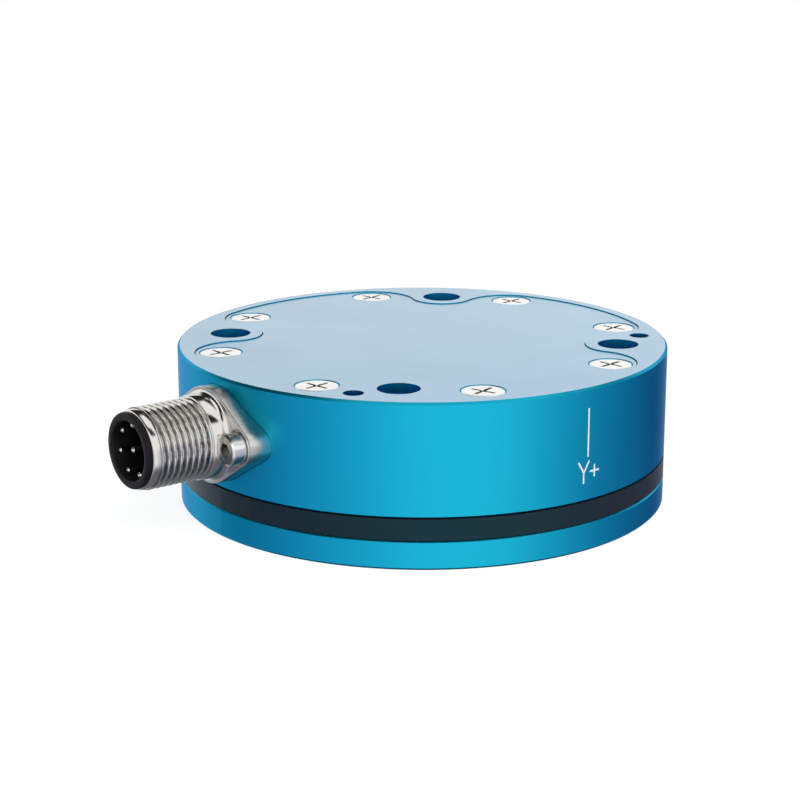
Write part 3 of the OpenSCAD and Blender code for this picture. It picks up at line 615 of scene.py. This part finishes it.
def circle_loop(x, r, number):
    """Circle of points round the X axis."""
    turns = [2 * math.pi * k / number for k in range(number)]
    return [(x, r * math.cos(t), r * math.sin(t)) for t in turns]


barrel = skin("barrel", [circle_loop(x, r, points_round) for x, r in profile], ring=True)
print("barrel blank:", len(profile), "rows,", count(barrel), "triangles")

# %% [markdown]
# A cutter swept along a helix could cut the thread, but such a boolean is slow and leaves
# slivers where the thread runs out. Here Geometry Nodes move the points: the surface sinks
# by a wave of the angle and the distance along the axis, so that one turn moves the wave
# on by one pitch, and it fades out at both ends as a real thread does.
#
# Three helpers serve every tree. One declares its inputs by name, one turns instances into
# real geometry and sets the material at the end, and one runs the tree once and keeps the
# result as a plain mesh.

# %% Helpers for Geometry Nodes
def new_tree(name, kinds):
    """Geometry Nodes tree with inputs {name: kind of socket}: (the tree, its inputs)."""
    tree = bpy.data.node_groups.new(name, "GeometryNodeTree")
    for label, kind in kinds.items():
        tree.interface.new_socket(label, in_out="INPUT", socket_type="NodeSocket" + kind)
    tree.interface.new_socket("Geometry", in_out="OUTPUT", socket_type="NodeSocketGeometry")
    return tree, add(tree, "NodeGroupInput").outputs


def end_tree(tree, geometry, material):
    """Makes instances real, sets the material and gives the geometry out."""
    real = add(tree, "GeometryNodeRealizeInstances", {}, {"Geometry": geometry})
    dressed = add(tree, "GeometryNodeSetMaterial", {}, {"Geometry": real, "Material": material})
    add(tree, "NodeGroupOutput", {}, {0: dressed})


def grow(name, tree, values, base=None):
    """Runs a Geometry Nodes tree once and keeps its result as a plain mesh object."""
    grown = mesh_object(name, base or bpy.data.meshes.new(name))
    modifier = grown.modifiers.new(name, "NODES")
    modifier.node_group = tree
    for item in tree.interface.items_tree:
        if item.in_out == "INPUT" and item.name in values:
            modifier[item.identifier] = values[item.name]
    view = bpy.context.evaluated_depsgraph_get()
    plain = bpy.data.meshes.new_from_object(grown.evaluated_get(view), depsgraph=view)
    grown.modifiers.remove(modifier)
    grown.data = plain
    return grown


# %% Wave of the thread
crest_share, root_share = 1 / 8, 1 / 4

tree, given = new_tree("cut_thread", {
    "Geometry": "Geometry", "Pitch": "Float", "Depth": "Float", "Crest Radius": "Float",
    "Start": "Float", "End": "Float", "Run Out": "Float", "Material": "Material"})
place = add(tree, "GeometryNodeInputPosition")
along, side, up = add(tree, "ShaderNodeSeparateXYZ", {}, {"Vector": place}).outputs
turned = add(tree, "ShaderNodeMath", {"operation": "ARCTAN2"}, {0: up, 1: side})
turned = add(tree, "ShaderNodeMath", {"operation": "DIVIDE"}, {0: turned, 1: 2 * math.pi})
travel = add(tree, "ShaderNodeMath", {"operation": "DIVIDE"}, {0: along, 1: given["Pitch"]})
phase = add(tree, "ShaderNodeMath", {"operation": "SUBTRACT"}, {0: travel, 1: turned})
phase = add(tree, "ShaderNodeMath", {"operation": "FRACT"}, {0: phase})
wave = add(tree, "ShaderNodeMath", {"operation": "SUBTRACT"}, {0: phase, 1: 0.5})
wave = add(tree, "ShaderNodeMath", {"operation": "ABSOLUTE"}, {0: wave})
# The crest and the root are each flat over their share of the pitch
cut = add(tree, "ShaderNodeMapRange", {}, {"Value": wave, "From Min": crest_share / 2,
                                           "From Max": (1 - root_share) / 2})
fades = []
for nearer, farther in [(given["Start"], along), (along, given["End"])]:
    inside = add(tree, "ShaderNodeMath", {"operation": "SUBTRACT"}, {0: farther, 1: nearer})
    fades.append(add(tree, "ShaderNodeMath", {"operation": "DIVIDE", "use_clamp": True},
                     {0: inside, 1: given["Run Out"]}))
sink = cut
for factor in (given["Depth"], *fades):
    sink = add(tree, "ShaderNodeMath", {"operation": "MULTIPLY"}, {0: sink, 1: factor})
print("thread: flat over", crest_share, "of the pitch at the crest,", root_share, "at the root")

# %% Cut the thread
run_out = 0.6 * pitch
crest_reach = 0.99

outward = add(tree, "ShaderNodeVectorMath", {"operation": "MULTIPLY"},
              {0: place, 1: (0.0, 1.0, 1.0)})
radius = add(tree, "ShaderNodeVectorMath", {"operation": "LENGTH"}, {0: outward})
least = add(tree, "ShaderNodeMath", {"operation": "MULTIPLY"},
            {0: given["Crest Radius"], 1: crest_reach})
on_crest = add(tree, "ShaderNodeMath", {"operation": "GREATER_THAN"},
               {0: radius.outputs["Value"], 1: least})
inward = add(tree, "ShaderNodeVectorMath", {"operation": "NORMALIZE"}, {0: outward})
drop = add(tree, "ShaderNodeMath", {"operation": "MULTIPLY"}, {0: sink, 1: -1.0})
inward = add(tree, "ShaderNodeVectorMath", {"operation": "SCALE"}, {0: inward, "Scale": drop})
moved = add(tree, "GeometryNodeSetPosition", {},
            {"Geometry": given["Geometry"], "Selection": on_crest, "Offset": inward})
end_tree(tree, moved, given["Material"])
threaded = grow("connector_shell_threaded", tree,
                {"Pitch": pitch, "Depth": thread_depth, "Crest Radius": crest_r,
                 "Start": thread_start, "End": thread_end, "Run Out": run_out,
                 "Material": nickel}, barrel)
smooth(threaded.data, sharp_above=50)
threaded.data.transform(Matrix.Translation((0.0, 0.0, plug_z)))
print("threaded barrel:", count(threaded.data), "triangles")

# %% [markdown]
# The flange is milled: an oval plate, with a hole for the barrel and one for each screw,
# and a shallow seat milled under each screw head. It is drawn as a flat outline of arcs
# and thickened with rounded edges, which is what makes a plated edge catch the light. A
# curve object does this at once, where a mesh plate would need its holes cut by booleans.
# The plate comes in two layers, of which the front one has the wider holes of the seats.

# %% Outlines and plates
hole_steps = 72
same_place = 1e-7


def arc(centre, radius, start, end, number):
    """Points on an arc in a plane, angles in degrees."""
    turns = [math.radians(start + (end - start) * k / number) for k in range(number + 1)]
    return [(centre + radius * math.cos(t), radius * math.sin(t)) for t in turns]


def plate(outline, holes, back, front, edge):
    """Plate across the connector's axis, with round holes [(centre, radius)]."""
    flat_curve = bpy.data.curves.new("plate", "CURVE")
    flat_curve.dimensions = "2D"
    flat_curve.fill_mode = "BOTH"
    flat_curve.extrude = (front - back) / 2 - edge
    flat_curve.bevel_depth = edge
    flat_curve.bevel_resolution = 2
    flat_curve.offset = -edge
    circles = [arc(centre, radius, 360, 0, hole_steps)[:-1] for centre, radius in holes]
    for points in [outline, *circles]:
        spline = flat_curve.splines.new("POLY")
        spline.points.add(len(points) - 1)
        for point, (across, upward) in zip(spline.points, points):
            point.co = (across, upward, 0.0, 1.0)
        spline.use_cyclic_u = True
    drawn = bpy.data.objects.new("plate", flat_curve)
    bpy.context.scene.collection.objects.link(drawn)
    view = bpy.context.evaluated_depsgraph_get()
    mesh = bpy.data.meshes.new_from_object(drawn.evaluated_get(view), depsgraph=view)
    bpy.data.objects.remove(drawn)
    mesh.transform(Matrix(((0, 0, 1, (front + back) / 2), (1, 0, 0, 0), (0, 1, 0, plug_z),
                           (0, 0, 0, 1))))
    return mesh


def join(target, *meshes):
    """Adds other meshes to an object's mesh and merges points that coincide."""
    build = bmesh.new()
    for mesh in (target.data, *meshes):
        build.from_mesh(mesh)
    bmesh.ops.remove_doubles(build, verts=build.verts, dist=same_place)
    build.to_mesh(target.data)
    build.free()


# %% Flange of the shell
ear_r, ear_steps = 2.7 * MM, 24
ear_out = shell_high.y - ear_r
screw_hole, screw_seat, seat_depth = 1.4 * MM, 2.4 * MM, 0.3 * MM
base_edge, flange_edge = 0.02 * MM, 0.12 * MM
overlap = 0.01 * MM

lean = math.degrees(math.asin((shoulder_r - ear_r) / ear_out))
oval = arc(ear_out, ear_r, lean - 90, 90 - lean, ear_steps)
oval += arc(0.0, shoulder_r, 90 - lean, 90 + lean, ear_steps)
oval += arc(-ear_out, ear_r, 90 + lean, 270 - lean, ear_steps)
oval += arc(0.0, shoulder_r, 270 - lean, 270 + lean, ear_steps)
seats = flange_front - seat_depth
base_plate = plate(oval, [(0.0, bore_r), (ear_out, screw_hole), (-ear_out, screw_hole)],
                   plug_back, seats, base_edge)
top_plate = plate(oval, [(0.0, bore_r), (ear_out, screw_seat), (-ear_out, screw_seat)],
                  seats - overlap, flange_front, flange_edge)
# The barrel keeps the first finish, and the milled plates get the second
threaded.data.materials.append(satin_nickel)
for mesh in (base_plate, top_plate):
    for face in mesh.polygons:
        face.material_index = 1
join(threaded, base_plate, top_plate)
smooth(threaded.data, sharp_above=50)
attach(threaded, "root")
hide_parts("connector_shell")
print("connector shell:", count(threaded.data), "triangles")

# %% [markdown]
# ### Contact insert
#
# The insert is moulded in black polyamide: a barrel that fills the shell, a lip that
# covers the shell's front edge, and a deep cup round the contacts with a keying rib on its
# wall. Every edge that a mould leaves is slightly round. A Bevel modifier could round them
# all alike, but the lip is rounder than the rest, so the edges are drawn in the profile.

# %% Mould the insert
cup_r, lip_r, barrel_r = 4.3 * MM, 5.5 * MM, 4.7 * MM
lip_back, lip_front = shell_high.x, insert_high.x
cup_depth = 8.6 * MM
cup_floor = lip_front - cup_depth
round_edge = 0.12 * MM
insert_profile = [
    (insert_low.x, barrel_r - round_edge), (insert_low.x + round_edge, barrel_r),
    (lip_back, barrel_r), (lip_back, lip_r - round_edge / 2), (lip_back + round_edge / 2, lip_r),
    (lip_front - 2 * round_edge, lip_r), (lip_front - 0.6 * round_edge, lip_r - 0.6 * round_edge),
    (lip_front, lip_r - 2 * round_edge), (lip_front, cup_r + 2 * round_edge),
    (lip_front - 0.4 * round_edge, cup_r + 0.6 * round_edge),
    (lip_front - 2 * round_edge, cup_r), (cup_floor, cup_r),
]
moulded = skin("insert", [circle_loop(x, r, points_round) for x, r in insert_profile])
print("insert blank:", count(moulded), "triangles")

# %% Keying rib of the insert
outer_contacts = 7
rib_half, rib_height = 0.45 * MM, 0.45 * MM
# The rib stands half-way between the contact at the top and its neighbour
rib_turn = math.radians(90 - 180 / outer_contacts)

rib_loops = []
for x, shrink in [(cup_floor - round_edge, 0.0), (lip_back - round_edge, 0.0),
                  (lip_back, round_edge)]:
    root, ridge, half = cup_r + round_edge, cup_r - rib_height + shrink, rib_half - shrink
    rib_loops.append([(x, out * math.cos(rib_turn) - across * math.sin(rib_turn),
                       out * math.sin(rib_turn) + across * math.cos(rib_turn))
                      for out, across in [(root, -half), (ridge, -half), (ridge, half),
                                          (root, half)]])
insert = mesh_object("connector_insert_moulded", moulded)
join(insert, skin("rib", rib_loops))
insert.data.transform(Matrix.Translation((0.0, 0.0, plug_z)))
insert.data.materials.append(black_plastic)
smooth(insert.data, sharp_above=50)
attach(insert, "root")
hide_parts("connector_insert")
print("contact insert:", count(insert.data), "triangles")

# %% [markdown]
# ### Cover screws
#
# The cover is held by M3 screws with flat heads and a cross recess. The cross could be cut
# by a boolean, but then the round head and the cross share no points and the shading
# creases. Here one screw is a row of loops with a point at every corner of the cross: up
# from the bottom of the recess, over the head, and down the cone and the shank.

# %% Outline of the cross recess
wing, half_slot = 1.95 * MM, 0.27 * MM
corner_fill = 1.7
corner_steps = 6


def cross_radius(turn, reach, half_width):
    """Distance from the centre to the outline of a cross, at an angle in radians."""
    # The angle to the nearest arm, as the four arms are alike
    folded = abs((turn + math.pi / 4) % (math.pi / 2) - math.pi / 4)
    across = half_width / math.sin(folded) if folded > 1e-9 else reach
    web = corner_fill * half_width / math.cos(math.pi / 4 - folded)
    return max(min(reach / math.cos(folded), across), web)


tip = math.atan2(half_slot, wing)
quarter_turns = [0.0, tip, *(tip + (math.pi / 4 - tip) * k / corner_steps
                             for k in range(1, corner_steps + 1))]
quarter_turns += [math.pi / 2 - t for t in reversed(quarter_turns[1:-1])]
turns = [t + q * math.pi / 2 for q in range(4) for t in quarter_turns]
print("cross recess:", len(turns), "points round")

# %% One screw
screws_low, screws_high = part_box("cover_screws")
screw_length = screws_high.z - screws_low.z
head_r, shank_r = 3.15 * MM, 1.5 * MM
head_edge, tip_edge, rim_depth = 0.12 * MM, 0.3 * MM, 0.03 * MM
recess_depth, recess_rim = 1.1 * MM, 1.03


def screw_loop(level, radius):
    """Loop of points whose radius is a number or a function of the angle."""
    radii = [radius(t) if callable(radius) else radius for t in turns]
    return [(r * math.cos(t), r * math.sin(t), level) for t, r in zip(turns, radii)]


cone_end = head_r - shank_r
# The punch tapers: shares of the depth, of an arm's reach and of its width, from below
recess = [screw_loop(-deep * recess_depth,
                     lambda t: cross_radius(t, reach * wing, width * half_slot))
          for deep, reach, width in [(1.0, 0.5, 0.9), (0.6, 0.93, 0.95)]]
one_screw = skin("cover_screw", [
    *recess, screw_loop(-rim_depth, lambda t: cross_radius(t, wing, half_slot)),
    screw_loop(0.0, lambda t: recess_rim * cross_radius(t, wing, half_slot)),
    screw_loop(0.0, 0.75 * head_r), screw_loop(0.0, head_r - 2 * head_edge),
    screw_loop(-0.3 * head_edge, head_r - 0.6 * head_edge), screw_loop(-head_edge, head_r),
    screw_loop(-2 * head_edge, head_r), screw_loop(-cone_end - head_edge, shank_r),
    screw_loop(tip_edge - screw_length, shank_r), screw_loop(-screw_length, 0.8 * shank_r),
])
print("one cover screw:", count(one_screw), "triangles")

# %% [markdown]
# The eight screws could be copied by a loop in Python. Geometry Nodes set them from named
# inputs instead, so a circle of other screws needs only other values. They come in pairs,
# one to each side of a mounting hole, with a quarter turn between pairs. The crosses stand
# nearly in line: all are turned alike, and each by a small random angle as well.

# %% Places of the screws
tree, given = new_tree("set_screws", {
    "Screw": "Object", "Count": "Int", "Radius": "Float", "Height": "Float",
    "Half Gap": "Float", "Turn": "Float", "Turn Spread": "Float", "Seed": "Int",
    "Material": "Material"})
places = add(tree, "GeometryNodePoints", {}, {"Count": given["Count"]})
index = add(tree, "GeometryNodeInputIndex")
pair = add(tree, "ShaderNodeMath", {"operation": "DIVIDE"}, {0: index, 1: 2.0})
pair = add(tree, "ShaderNodeMath", {"operation": "FLOOR"}, {0: pair})
hole_turn = add(tree, "ShaderNodeMath", {"operation": "ADD"}, {0: pair, 1: 0.5})
hole_turn = add(tree, "ShaderNodeMath", {"operation": "MULTIPLY"}, {0: hole_turn, 1: math.pi / 2})
which = add(tree, "ShaderNodeMath", {"operation": "MODULO"}, {0: index, 1: 2.0})
which = add(tree, "ShaderNodeMath", {"operation": "MULTIPLY_ADD"}, {0: which, 1: 2.0, 2: -1.0})
lean_by = add(tree, "ShaderNodeMath", {"operation": "MULTIPLY"}, {0: which, 1: given["Half Gap"]})
turn_by = add(tree, "ShaderNodeMath", {"operation": "ADD"}, {0: hole_turn, 1: lean_by})
spot = {"Z": given["Height"]}
for axis, operation in [("X", "COSINE"), ("Y", "SINE")]:
    part = add(tree, "ShaderNodeMath", {"operation": operation}, {0: turn_by})
    spot[axis] = add(tree, "ShaderNodeMath", {"operation": "MULTIPLY"},
                     {0: part, 1: given["Radius"]})
places = add(tree, "GeometryNodeSetPosition", {},
             {"Geometry": places, "Position": add(tree, "ShaderNodeCombineXYZ", {}, spot)})
print("screw places:", len(tree.nodes), "nodes so far")

# %% Set the screws
screw_count, half_gap, common_turn, turn_spread = 8, 22.0, 7, 18

# Random Value gives its plain number at the second output
chance = add(tree, "FunctionNodeRandomValue", {"data_type": "FLOAT"},
             {"Seed": given["Seed"]}).outputs[1]
stray = add(tree, "ShaderNodeMath", {"operation": "SUBTRACT"}, {0: chance, 1: 0.5})
stray = add(tree, "ShaderNodeMath", {"operation": "MULTIPLY"}, {0: stray, 1: given["Turn Spread"]})
spin = add(tree, "ShaderNodeMath", {"operation": "ADD"}, {0: given["Turn"], 1: stray})
shape = add(tree, "GeometryNodeObjectInfo", {}, {"Object": given["Screw"]})
placed = add(tree, "GeometryNodeInstanceOnPoints", {},
             {"Points": places, "Instance": shape.outputs["Geometry"],
              "Rotation": add(tree, "ShaderNodeCombineXYZ", {}, {"Z": spin})})
end_tree(tree, placed, given["Material"])

screw_circle = (screws_high.y - head_r) / math.sin(math.radians(45 + half_gap))
pattern = mesh_object("cover_screw_pattern", one_screw)
cover_screws = grow("cover_screws_cross_recess", tree,
                    {"Screw": pattern, "Count": screw_count, "Radius": screw_circle,
                     "Height": screws_high.z, "Half Gap": math.radians(half_gap),
                     "Turn": math.radians(common_turn), "Turn Spread": math.radians(turn_spread),
                     "Seed": 5, "Material": stainless})
bpy.data.objects.remove(pattern)
smooth(cover_screws.data, sharp_above=30)
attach(cover_screws, "root")
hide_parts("cover_screws")
print("cover screws on a circle of", round(2 * screw_circle / MM, 2), "mm:",
      count(cover_screws.data), "triangles")

# %% [markdown]
# ### Axis mark
#
# The wall carries the mark of the +Y axis: a line, and under it a Y and a plus sign.
# It is engraved with a laser, which bleaches the dye, so it is white and matt. A text
# object could be bent onto the wall, but a laser draws with strokes of one width. So each
# stroke is a narrow strip that follows the wall, with round ends.

# %% Strokes on the wall
# Laser-bleached oxide: white and matt
mark_white = finish("laser_engraving_white", "f4f8fa", "eaf0f3", 0.0, 0.6, 3.0, 0.15, 0.002)
stroke_half = 0.135 * MM
stroke_rise = 0.008 * MM
stroke_root = 0.05 * MM
cap_turns, stroke_steps = (15, 35, 60, 90), 8


def on_wall(across, level, radius):
    """Point on the wall, across to the right of the +Y axis as seen from outside."""
    turn = math.pi / 2 + across / body_r
    return (radius * math.cos(turn), radius * math.sin(turn), level)


def stroke(start, end):
    """Strip along the wall between two places (across, level), with round ends."""
    run = Vector(end) - Vector(start)
    length = run.length
    step = run / length
    side = Vector((-step.y, step.x))
    cap = [(stroke_half * math.cos(math.radians(a)), stroke_half * math.sin(math.radians(a)))
           for a in cap_turns]
    stops = [(-beyond, width) for beyond, width in cap]
    stops += [(length * k / stroke_steps, stroke_half) for k in range(1, stroke_steps)]
    stops += [(length + beyond, width) for beyond, width in reversed(cap)]
    loops = []
    for along_by, width in stops:
        middle = Vector(start) + step * along_by
        left, right = middle + side * width, middle - side * width
        loops.append([on_wall(*left, body_r + stroke_rise), on_wall(*right, body_r + stroke_rise),
                      on_wall(*right, body_r - stroke_root), on_wall(*left, body_r - stroke_root)])
    return skin("stroke", loops)


print("strokes", round(2 * stroke_half / MM, 2), "mm wide,", stroke_rise / MM, "mm proud")

# %% Axis mark
line_low, line_high = 14.3 * MM, 21.2 * MM
letter_low, letter_high, letter_half_w = 10.4 * MM, 13.5 * MM, 0.95 * MM
letter_mid = -0.75 * MM
fork = 11.9 * MM
plus_at, plus_half, plus_level = 1.32 * MM, 0.8 * MM, 11.95 * MM
strokes = [
    stroke((0.0, line_low), (0.0, line_high)),
    stroke((letter_mid, letter_low), (letter_mid, fork)),
    stroke((letter_mid, fork), (letter_mid - letter_half_w, letter_high)),
    stroke((letter_mid, fork), (letter_mid + letter_half_w, letter_high)),
    stroke((plus_at - plus_half, plus_level), (plus_at + plus_half, plus_level)),
    stroke((plus_at, plus_level - plus_half), (plus_at, plus_level + plus_half)),
]
axis_mark = mesh_object("axis_mark", strokes[0])
join(axis_mark, *strokes[1:])
axis_mark.data.materials.append(mark_white)
smooth(axis_mark.data, sharp_above=38)
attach(axis_mark, "root")
print("axis mark:", len(strokes), "strokes")
